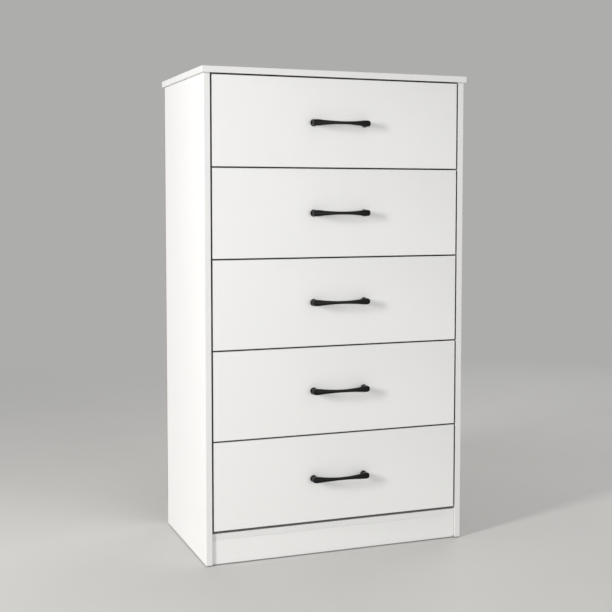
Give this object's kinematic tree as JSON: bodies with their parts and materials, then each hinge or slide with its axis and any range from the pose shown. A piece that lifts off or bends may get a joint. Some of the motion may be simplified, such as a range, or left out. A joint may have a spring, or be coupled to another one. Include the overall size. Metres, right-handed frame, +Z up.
{
  "type": "tall chest of drawers",
  "caption": "Tall white flat-pack chest with equal inset slab drawers on steel runners, a slightly overhanging top, a recessed plinth and slim black waisted bar pulls.",
  "frame": {"origin": "on the floor under the middle of the whole object's box, pulls included", "axes": "+Z up, -Y the way the drawers face and open, +X to the right of someone facing the drawers"},
  "size_m": [0.7, 0.425, 1.2],
  "materials": {
    "white_board": "matt white melamine on 15 mm particle board, edges banded in white",
    "white_hardboard": "3 mm hardboard, white on its inner face and bare brown behind",
    "box_board": "12 mm particle board in white foil",
    "box_hardboard": "3 mm hardboard, white on its upper face",
    "black_metal": "satin black powder coat on a zinc casting",
    "zinc_steel": "rolled steel strip, zinc plated",
    "zinc_screw": "steel, zinc plated",
    "zinc_casting": "die-cast zinc, as cast",
    "white_plastic": "extruded white plastic",
    "grey_plastic": "moulded grey plastic"
  },
  "bodies": {
    "cabinet": {"top_panel": "white_board", "left_side_panel": "white_board", "right_side_panel": "white_board", "bottom_panel": "white_board", "plinth_board": "white_board", "rear_rail": "white_board", "upper_back_panel": "white_hardboard", "lower_back_panel": "white_hardboard", "back_joining_strip": "white_plastic", "cabinet_rails": "zinc_steel", "rail_screws": "zinc_screw", "cam_fittings": "zinc_casting", "back_nails": "zinc_screw", "floor_glides": "grey_plastic", "wall_bracket": "zinc_steel"},
    "drawer_1": {"drawer_1_front": "white_board", "drawer_1_left_side": "box_board", "drawer_1_right_side": "box_board", "drawer_1_back": "box_board", "drawer_1_bottom": "box_hardboard", "drawer_1_pull": "black_metal", "drawer_1_rails": "zinc_steel", "drawer_1_screws": "zinc_screw", "drawer_1_cam_fittings": "zinc_casting"},
    "drawer_2": {"drawer_2_front": "white_board", "drawer_2_left_side": "box_board", "drawer_2_right_side": "box_board", "drawer_2_back": "box_board", "drawer_2_bottom": "box_hardboard", "drawer_2_pull": "black_metal", "drawer_2_rails": "zinc_steel", "drawer_2_screws": "zinc_screw", "drawer_2_cam_fittings": "zinc_casting"},
    "drawer_3": {"drawer_3_front": "white_board", "drawer_3_left_side": "box_board", "drawer_3_right_side": "box_board", "drawer_3_back": "box_board", "drawer_3_bottom": "box_hardboard", "drawer_3_pull": "black_metal", "drawer_3_rails": "zinc_steel", "drawer_3_screws": "zinc_screw", "drawer_3_cam_fittings": "zinc_casting"},
    "drawer_4": {"drawer_4_front": "white_board", "drawer_4_left_side": "box_board", "drawer_4_right_side": "box_board", "drawer_4_back": "box_board", "drawer_4_bottom": "box_hardboard", "drawer_4_pull": "black_metal", "drawer_4_rails": "zinc_steel", "drawer_4_screws": "zinc_screw", "drawer_4_cam_fittings": "zinc_casting"},
    "drawer_5": {"drawer_5_front": "white_board", "drawer_5_left_side": "box_board", "drawer_5_right_side": "box_board", "drawer_5_back": "box_board", "drawer_5_bottom": "box_hardboard", "drawer_5_pull": "black_metal", "drawer_5_rails": "zinc_steel", "drawer_5_screws": "zinc_screw", "drawer_5_cam_fittings": "zinc_casting"}
  },
  "joints": [
    {"name": "drawer_1_slide", "type": "slide", "parent": "cabinet", "child": "drawer_1", "axis": [0, -1, 0], "range_m": [0, 0.2625]},
    {"name": "drawer_2_slide", "type": "slide", "parent": "cabinet", "child": "drawer_2", "axis": [0, -1, 0], "range_m": [0, 0.2625]},
    {"name": "drawer_3_slide", "type": "slide", "parent": "cabinet", "child": "drawer_3", "axis": [0, -1, 0], "range_m": [0, 0.2625]},
    {"name": "drawer_4_slide", "type": "slide", "parent": "cabinet", "child": "drawer_4", "axis": [0, -1, 0], "range_m": [0, 0.2625]},
    {"name": "drawer_5_slide", "type": "slide", "parent": "cabinet", "child": "drawer_5", "axis": [0, -1, 0], "range_m": [0, 0.2625]}
  ]
}
